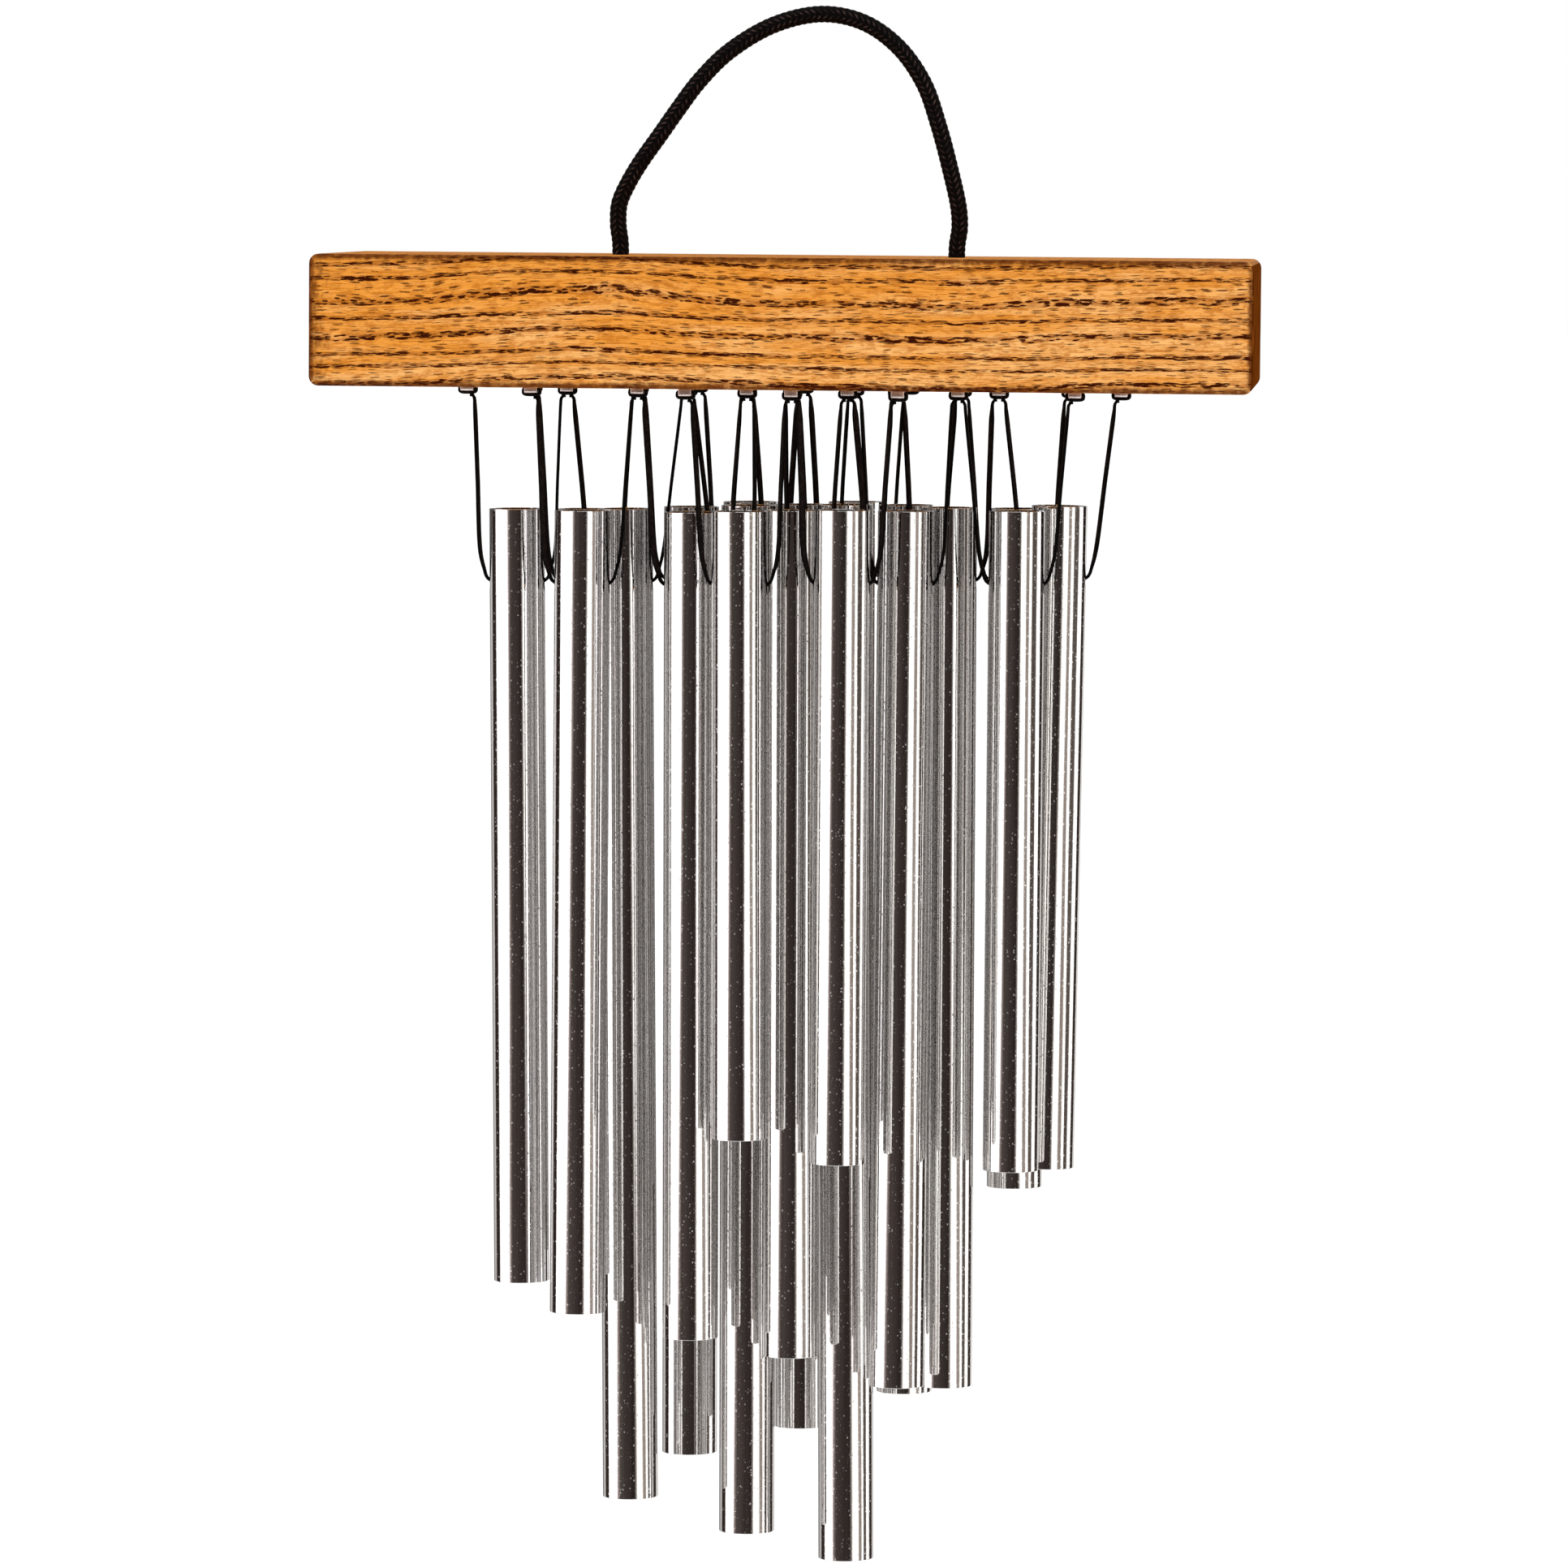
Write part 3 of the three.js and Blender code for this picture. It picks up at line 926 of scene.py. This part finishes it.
@dataclass
class Laces:
    """The flat laces: each runs from a staple down through its tube's cross hole and up to the next.

    A lace twists, so that each of its legs shows more or less of its face. The faces are in
    degrees, left leg and right leg, and 90 is the whole face. A leg's points near its staple are in
    millimetres outwards and down from the staple, and those near its tube outwards and up from the
    wall at the hole. The twist starts and ends at shares of a leg's length.
    """

    seats: list[TubeSeat]
    underside: float
    width: float = 1.14 * MM
    thickness: float = 0.56 * MM
    tube_radius: float = 9.525 / 2 * MM
    corner_power: float = 0.75
    top_below_bar: float = 2.05 * MM
    rise_in_hole: float = 0.25 * MM
    near_staple: tuple[tuple[float, float], ...] = ((0.35, 0.0), (0.85, 0.08), (1.1, 0.5), (1.18, 1.4))
    near_tube: tuple[tuple[float, float], ...] = ((1.65, 5.2), (1.0, 2.4), (0.4, 0.75), (-1.1, 0.0))
    twist_in: float = 0.12
    twist_out: tuple[float, float] = (0.90, 0.22)
    sides: int = 14
    step: float = 0.55 * MM
    faces: dict[str, tuple[float, float]] = field(default_factory=lambda: {
        "a1": (38, 36), "a2": (58, 44), "b1": (70, 14), "b2": (80, 32), "b3": (20, 34), "b4": (72, 8),
        "b5": (4, 16), "c1": (24, 6), "c2": (34, 10), "c3": (30, 40), "c4": (36, 30), "c5": (42, 50),
        "c6": (32, 34), "d1": (25, 8), "d2": (30, 22), "d3": (40, 25), "d4": (20, 45), "d5": (15, 35),
        "e1": (30, 60), "e2": (50, 20),
    })

    def build(self, finish: bpy.types.Material) -> None:
        """Makes every lace.

        Args:
            finish: The laces' material.
        """
        for seat in self.seats:
            self._lace(seat, finish)
        LOG.info("laces: %d", len(self.seats))

    def _lace(self, seat: TubeSeat, finish: bpy.types.Material) -> None:
        """One lace, riding with its tube."""
        left = self._leg(seat, Side.LEFT)
        right = self._leg(seat, Side.RIGHT)
        points = [*left, *reversed(right)]
        line = flattened_curve(points, self.step)
        total = length_of(line)

        def outline(turn: float, along: float) -> tuple[float, float, float]:
            """A flat oval, turned by the twist at this place along the lace."""
            angle = 2 * math.pi * turn
            wide = self.width / 2 * squared(math.cos(angle), self.corner_power)
            thin = self.thickness / 2 * squared(math.sin(angle), self.corner_power)
            twist = math.radians(self._twist(seat, along * MM / total))
            depth = wide * math.cos(twist) - thin * math.sin(twist)
            return depth, wide * math.sin(twist) + thin * math.cos(twist), abs(math.sin(angle))

        lace = swept(f"flat_lace_{seat.name}", line, self.sides, outline)
        smooth(lace, 60.0)
        lace.data.materials.append(finish)
        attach(lace, seat.body)
        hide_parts(f"lace_{seat.name}")

    def _leg(self, seat: TubeSeat, side: Side) -> list[Vector]:
        """The points of one leg, from its staple down to the tube's wall."""
        sign = side.value
        staple = seat.staple_left if side is Side.LEFT else seat.staple_right
        wall = seat.hole.x + sign * self.tube_radius
        top = self.underside - self.top_below_bar
        bottom = seat.top.z - seat.hole_below_top + self.rise_in_hole
        upper = [(staple - sign * out * MM, top - down * MM) for out, down in self.near_staple]
        lower = [(wall + sign * out * MM, bottom + up * MM) for out, up in self.near_tube]
        middle = ((upper[-1][0] + lower[0][0]) / 2, (upper[-1][1] + lower[0][1]) / 2)
        return [Vector((x, seat.top.y, z)) for x, z in (*upper, middle, *lower)]

    def _twist(self, seat: TubeSeat, share: float) -> float:
        """The face shown, in degrees, at a share of the way from the left end to the right."""
        face_left, face_right = self.faces[seat.name]
        face = face_left if share < 0.5 else face_right
        from_end = min(share, 1.0 - share) / 0.5
        end, over = self.twist_out
        rise = min(1.0, from_end / self.twist_in)
        fall = min(1.0, max(0.0, (end - from_end) / over))
        return face * rise * rise * (3 - 2 * rise) * fall * fall * (3 - 2 * fall)


@dataclass
class OakBar:
    """The hardwood bar, with two blind holes for the loop's ends."""

    low: Vector
    high: Vector
    corner: float = 1.6 * MM
    edge: float = 0.9 * MM
    holes: tuple[float, float] = (-29.8 * MM, 28.0 * MM)
    hole_diameter: float = 3.8 * MM
    hole_depth: float = 12.5 * MM
    end_face_tilt: float = 0.72

    def build(self, finish: bpy.types.Material, end_finish: bpy.types.Material) -> None:
        """Makes the bar and puts it in place of the frame's block.

        Args:
            finish: The wood's material.
            end_finish: The material of the two end faces.
        """
        middle, size = (self.low + self.high) / 2, self.high - self.low
        deselect()
        bpy.ops.mesh.primitive_cube_add(size=1.0, location=middle, scale=size)
        bar = bpy.context.object
        bar.name = bar.data.name = "oak_bar"
        settle(bar)
        with edited(bar):
            pick(bar, Domain.EDGES, self._runs_along_y)
            bpy.ops.mesh.bevel(offset=self.corner, segments=5, profile=0.5)
            pick(bar, Domain.EDGES, self._is_outline)
            bpy.ops.mesh.bevel(offset=self.edge, segments=4, profile=0.5)
        for hole in self.holes:
            place = (middle.x + hole, middle.y, self.high.z)
            drilled(bar, place, self.hole_diameter, 2 * self.hole_depth, sides=40)
        smooth(bar, 35.0)
        bar.data.materials.append(finish)
        bar.data.materials.append(end_finish)
        for face in bar.data.polygons:
            face.material_index = int(abs(face.normal.x) > self.end_face_tilt)
        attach(bar, "bar")
        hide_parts("bar")
        LOG.info("oak bar: %d faces", len(bar.data.polygons))

    @staticmethod
    def _runs_along_y(edge: bmesh.types.BMEdge) -> bool:
        """Whether an edge runs from front to back."""
        first, second = edge.verts
        return abs(abs(first.co.y - second.co.y) - edge.calc_length()) < NEARLY_ZERO

    @staticmethod
    def _is_outline(edge: bmesh.types.BMEdge) -> bool:
        """Whether an edge is on the outline of the front or back face."""
        first, second = edge.verts
        fronts = [face for face in edge.link_faces if abs(face.normal.y) > 0.9]
        return abs(first.co.y - second.co.y) < NEARLY_ZERO and len(fronts) == 1


@dataclass
class Tubes:
    """The open metal tubes, each with a cross hole for its lace."""

    seats: list[TubeSeat]
    diameter: float = 9.525 * MM
    wall: float = 0.9 * MM
    hole_diameter: float = 2.4 * MM
    rim_round: float = 0.06 * MM
    crease: float = 18.0
    sides: int = 96

    def build(self, finish: bpy.types.Material) -> None:
        """Makes every tube.

        Args:
            finish: The tubes' material.
        """
        for seat in self.seats:
            self._tube(seat, finish)
        LOG.info("tubes: %d", len(self.seats))

    def _tube(self, seat: TubeSeat, finish: bpy.types.Material) -> None:
        """One tube, modelled upright under the origin and then hung in its place."""
        length = (seat.foot - seat.top).length
        deselect()
        bpy.ops.mesh.primitive_cylinder_add(
            vertices=self.sides, radius=self.diameter / 2, depth=length,
            end_fill_type="NOTHING", location=(0.0, 0.0, -length / 2),
        )
        tube = bpy.context.object
        tube.name = tube.data.name = f"polished_tube_{seat.name}"
        settle(tube)
        modified(tube, "SOLIDIFY", thickness=self.wall, offset=-1.0, use_even_offset=True)
        rounded(tube, self.rim_round, 2)
        with edited(tube):
            for above in (-1.0, 1.0):
                height = -seat.hole_below_top + above * self.hole_diameter
                bpy.ops.mesh.select_all(action="SELECT")
                bpy.ops.mesh.bisect(plane_co=(0.0, 0.0, height), plane_no=(0.0, 0.0, 1.0))
        place = (0.0, 0.0, -seat.hole_below_top)
        drilled(tube, place, self.hole_diameter, 2 * self.diameter, sides=28, tilt=math.pi / 2)
        smooth(tube, self.crease)
        turn = Vector((0.0, 0.0, -1.0)).rotation_difference(seat.down).to_matrix().to_4x4()
        tube.data.transform(Matrix.Translation(seat.top) @ turn)
        tube.data.materials.append(finish)
        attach(tube, seat.body)
        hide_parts(f"tube_{seat.name}")


@dataclass
class Staples:
    """The flat-wire staples under the bar, and the lace tied round each one's crown."""

    seats: list[TubeSeat]
    underside: float
    wire_width: float = 2.2 * MM
    wire_thickness: float = 0.5 * MM
    crown: float = 4.4 * MM
    proud: float = 1.3 * MM
    leg: float = 5.0 * MM
    tie_width: float = 1.7 * MM
    tie_thickness: float = 0.60 * MM
    tie_gap: float = 0.02 * MM
    tie_power: float = 0.55
    bend_round: float = 0.95
    edge_round: float = 0.22

    def build(self, frame: dict[str, Any], metal: bpy.types.Material, lace: bpy.types.Material) -> None:
        """Makes every staple and its tie.

        Args:
            metal: The staples' material.
            lace: The ties' material.
        """
        master = self._staple()
        master.data.materials.append(metal)
        knot = self._tie()
        knot.data.materials.append(lace)
        places = self._places()
        for name, place in places.items():
            staple = copy_of(master, f"wire_staple_{name}")
            staple.data.transform(Matrix.Translation(place))
            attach(staple, "bar")
            if f"staple_{name}" in frame["nodes"]:
                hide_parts(f"staple_{name}")
            tie = copy_of(knot, f"lace_tie_{name}")
            tie.data.transform(Matrix.Translation(place))
            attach(tie, "bar")
        bpy.data.objects.remove(master)
        bpy.data.objects.remove(knot)
        LOG.info("staples: %d, each with its tie", len(places))

    def _places(self) -> dict[str, Vector]:
        """Each staple's place on the bar's underside, by row and number from the left."""
        places = {}
        for row in sorted({seat.name[0] for seat in self.seats}):
            members = [seat for seat in self.seats if seat.name[0] == row]
            xs = [seat.staple_left for seat in members] + [members[-1].staple_right]
            for number, x in enumerate(xs, 1):
                places[f"{row}{number}"] = Vector((x, members[0].top.y, self.underside))
        return places

    def _staple(self) -> bpy.types.Object:
        """A staple under the origin, its crown from front to back and its legs up in the wood."""
        deselect()
        bpy.ops.mesh.primitive_cube_add(
            size=1.0, location=(0.0, 0.0, -self.proud + self.wire_thickness / 2),
            scale=(self.wire_width, self.crown, self.wire_thickness),
        )
        staple = bpy.context.object
        settle(staple)
        inner = self.crown / 2 - self.wire_thickness
        rise = self.proud - self.wire_thickness + self.leg
        with edited(staple):
            for at in (-inner, inner):
                bpy.ops.mesh.select_all(action="SELECT")
                bpy.ops.mesh.bisect(plane_co=(0.0, at, 0.0), plane_no=(0.0, 1.0, 0.0))
            pick(
                staple, Domain.FACES,
                lambda face: face.normal.z > 0.9 and abs(face.calc_center_median().y) > inner,
            )
            bpy.ops.mesh.extrude_region_move(TRANSFORM_OT_translate={"value": (0.0, 0.0, rise)})
            pick(staple, Domain.EDGES, self._is_bend)
            bpy.ops.mesh.bevel(offset=self.wire_thickness * self.bend_round, segments=5, profile=0.5)
        rounded(staple, self.wire_thickness * self.edge_round, 3)
        smooth(staple, 40.0)
        return staple

    def _is_bend(self, edge: bmesh.types.BMEdge) -> bool:
        """Whether an edge is the outside of one of the staple's two bends."""
        first, second = edge.verts
        low = all(abs(v.co.z + self.proud) < NEARLY_ZERO for v in (first, second))
        ends = all(abs(abs(v.co.y) - self.crown / 2) < NEARLY_ZERO for v in (first, second))
        return low and ends

    def _tie(self) -> bpy.types.Object:
        """The lace wound round the crown, closed on itself."""
        half_width = self.wire_width / 2 + self.tie_thickness / 2 + self.tie_gap
        half_height = self.wire_thickness / 2 + self.tie_thickness / 2 + self.tie_gap
        middle = -self.proud + self.wire_thickness / 2
        ring = 0.25
        deselect()
        bpy.ops.mesh.primitive_torus_add(
            major_segments=48, minor_segments=16, major_radius=1.0, minor_radius=ring,
            rotation=(math.pi / 2, 0.0, 0.0),
        )
        tie = bpy.context.object
        settle(tie)
        ridge = tie.data.attributes.new("ridge", "FLOAT", "POINT")
        for vertex in tie.data.vertices:
            x, depth, z = vertex.co
            round_axis = Vector((x, 0.0, z))
            out = (round_axis.length - 1.0) / ring
            way = round_axis.normalized()
            x, z = (squared(part, self.tie_power) for part in (way.x, way.z))
            centre = Vector((half_width * x, 0.0, half_height * z))
            normal = Vector((way.x / half_width, 0.0, way.z / half_height)).normalized()
            vertex.co = centre + normal * out * self.tie_thickness / 2
            vertex.co += Vector((0.0, depth / ring * self.tie_width / 2, middle))
            ridge.data[vertex.index].value = 0.5 + 0.5 * abs(out)
        smooth(tie, 60.0)
        return tie


# ---- Studio --------------------------------------------------------------------------------------


@dataclass(frozen=True)
class Studio:
    """A white studio: the camera, a pale floor far below, and tall panels that the metal mirrors.

    The panels are colours between azimuths in degrees; each colour turns evenly into the next.
    """

    camera_place: tuple[float, float, float] = (0.1015, -1.3960, -0.0282)
    camera_azimuth: float = 4.388
    camera_pitch: float = -4.175
    camera_roll: float = 0.47
    lens: float = 187.4
    sensor: float = 36.0
    floor_height: float = -1.1
    floor_radius: float = 60.0
    ring_radius: float = 0.9
    ring_low: float = -1.0
    ring_high: float = 0.7
    panels: tuple[tuple[tuple[float, ...], tuple[float, float, float]], ...] = (
        ((-180.0, -146.0), (0.26, 0.25, 0.24)),
        ((-141.0, -127.0), (0.55, 0.53, 0.52)),
        ((-123.0, -100.0), (0.030, 0.020, 0.017)),
        ((-95.0, -44.0), (1.55, 1.52, 1.53)),
        ((-38.0,), (0.30, 0.24, 0.225)),
        ((-31.0,), (0.072, 0.058, 0.053)),
        ((-12.0,), (0.046, 0.036, 0.033)),
        ((13.0,), (0.024, 0.018, 0.016)),
        ((18.0,), (0.30, 0.26, 0.24)),
        ((22.0, 38.0), (1.45, 1.45, 1.42)),
        ((42.0, 52.0), (0.33, 0.28, 0.25)),
        ((56.0, 64.0), (1.45, 1.44, 1.40)),
        ((68.0, 88.0), (0.10, 0.080, 0.070)),
        ((93.0, 112.0), (1.40, 1.38, 1.36)),
        ((116.0, 138.0), (0.035, 0.026, 0.022)),
        ((143.0, 158.0), (0.80, 0.78, 0.76)),
        ((164.0, 180.0), (0.26, 0.25, 0.24)),
    )

    def build(self) -> None:
        """Sets up the camera, the world, the floor and the panels."""
        self._camera()
        self._world()
        self._floor()
        self._panels()
        settings = bpy.context.scene.view_settings
        settings.view_transform = "Standard"
        settings.look = "None"
        LOG.info("studio: camera, floor and mirrored panels")

    def _camera(self) -> None:
        """A long lens, a little to the right of the chime and level with its bar."""
        azimuth, pitch = math.radians(self.camera_azimuth), math.radians(self.camera_pitch)
        roll = math.radians(self.camera_roll)
        level = Vector((math.cos(azimuth), math.sin(azimuth), 0.0))
        outward = Vector((-math.sin(azimuth), math.cos(azimuth), 0.0))
        ahead = math.cos(pitch) * outward + Vector((0.0, 0.0, math.sin(pitch)))
        upright = level.cross(ahead)
        right = math.cos(roll) * level + math.sin(roll) * upright
        up = math.cos(roll) * upright - math.sin(roll) * level
        data = bpy.data.cameras.new("long_lens")
        data.lens = self.lens
        data.sensor_width = self.sensor
        data.clip_end = 200.0
        camera = bpy.data.objects.new("long_lens", data)
        bpy.context.scene.collection.objects.link(camera)
        turn = Matrix((right, up, -ahead)).transposed().to_4x4()
        camera.matrix_world = Matrix.Translation(self.camera_place) @ turn
        bpy.context.scene.camera = camera

    @staticmethod
    def _world() -> None:
        """Even white light from all round."""
        world = bpy.data.worlds.new("white_studio")
        world.use_nodes = True
        background = world.node_tree.nodes["Background"]
        background.inputs["Color"].default_value = (1.0, 1.0, 1.0, 1.0)
        background.inputs["Strength"].default_value = 1.0
        bpy.context.scene.world = world

    def _floor(self) -> None:
        """A pale floor far enough below to carry no shadow."""
        deselect()
        bpy.ops.mesh.primitive_circle_add(
            vertices=96, radius=self.floor_radius, fill_type="NGON", location=(0.0, 0.0, self.floor_height)
        )
        floor = bpy.context.object
        floor.name = "studio_floor"
        shader = Shader("pale_floor")
        floor.data.materials.append(shader.finish({
            "Base Color": (0.9, 0.9, 0.9, 1.0),
            "Roughness": 0.9,
            "Emission Color": (1.0, 1.0, 1.0, 1.0),
            "Emission Strength": 0.2,
        }))

    def _panels(self) -> None:
        """A ring of light and dark panels that only mirrored rays meet."""
        deselect()
        bpy.ops.mesh.primitive_cylinder_add(
            vertices=360, radius=self.ring_radius, depth=self.ring_high - self.ring_low,
            end_fill_type="NOTHING", location=(0.0, 0.0, (self.ring_high + self.ring_low) / 2),
        )
        ring = bpy.context.object
        ring.name = "mirror_panels"
        settle(ring)
        unwrap = ring.data.uv_layers.active or ring.data.uv_layers.new(name="turns")
        for face in ring.data.polygons:
            middle = self._share(face.center)
            for corner in face.loop_indices:
                place = ring.data.vertices[ring.data.loops[corner].vertex_index].co
                share = self._share(place)
                share += round(middle - share)
                unwrap.data[corner].uv = (share, place.z)
        ring.data.materials.append(self._panel_material())
        ring.visible_camera = False
        ring.visible_diffuse = False
        ring.visible_shadow = False
        ring.visible_transmission = False

    def _share(self, place: Vector) -> float:
        """The share of a turn from behind the chime, rising to the camera's right."""
        azimuth = math.degrees(math.atan2(place.x, -place.y)) - self.camera_azimuth
        return (azimuth + 180.0) % 360.0 / 360.0

    def _panel_material(self) -> bpy.types.Material:
        """Light whose colour changes round the ring; the panels in front widen downwards."""
        shader = Shader("mirror_panel_light")
        turn, height, _ = shader.split(shader.node("ShaderNodeTexCoord").outputs["UV"])
        widening = height.ease(-0.14, -0.46) * abs(turn - 0.5).ease(0.30, 0.16) * 0.30
        turn = (turn - 0.5) * (1 - widening) + 0.5
        stops = [
            ((azimuth + 180.0) / 360.0, (*colour, 1.0))
            for azimuths, colour in self.panels for azimuth in azimuths
        ]
        ramp = shader.node("ShaderNodeValToRGB", {"stops": stops}, {"Fac": turn})
        material = shader.finish({
            "Base Color": (0.0, 0.0, 0.0, 1.0),
            "Roughness": 1.0,
            "Specular IOR Level": 0.0,
            "Emission Color": ramp.outputs[0],
            "Emission Strength": 1.0,
        })
        material.cycles.emission_sampling = "NONE"
        return material


def main() -> None:
    """Builds the chime around its frame, piece by piece."""
    logging.basicConfig(level=logging.INFO, format="%(name)s: %(message)s")
    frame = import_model()
    bar_low, bar_high = (Vector(corner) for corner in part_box("bar"))
    seats = seats_of(frame)
    Studio().build()

    # each cord's darkest colour is painted shade in its hollows, and its brown one a painted highlight on
    # its high threads
    braid = CordFinish(
        "black_braid", thread=(0.0055, 0.0030, 0.0024, 1.0), valley_shade=(0.0012, 0.0008, 0.0007, 1.0),
        ridge_highlight=(0.105, 0.060, 0.050, 1.0), yarn=(56.0, 0.35), roughness=0.60, relief=0.06,
    ).build()
    flat_lace = CordFinish(
        "black_lace", thread=(0.0040, 0.0022, 0.0018, 1.0), valley_shade=(0.0012, 0.0008, 0.0007, 1.0),
        ridge_highlight=(0.020, 0.011, 0.009, 1.0), yarn=(10.0, 0.22), roughness=0.60, relief=0.05,
    ).build()
    HangingLoop(bar_low, bar_high).build(braid)
    Laces(seats, bar_low.z).build(flat_lace)
    oak = OakFinish(bar_low, bar_high).build()
    OakBar(bar_low, bar_high).build(oak, EndGrainFinish().build())
    Tubes(seats).build(TubeFinish().build())
    Staples(seats, bar_low.z).build(frame, StapleFinish().build(), flat_lace)

    deselect()


if __name__ == "__main__":
    main()
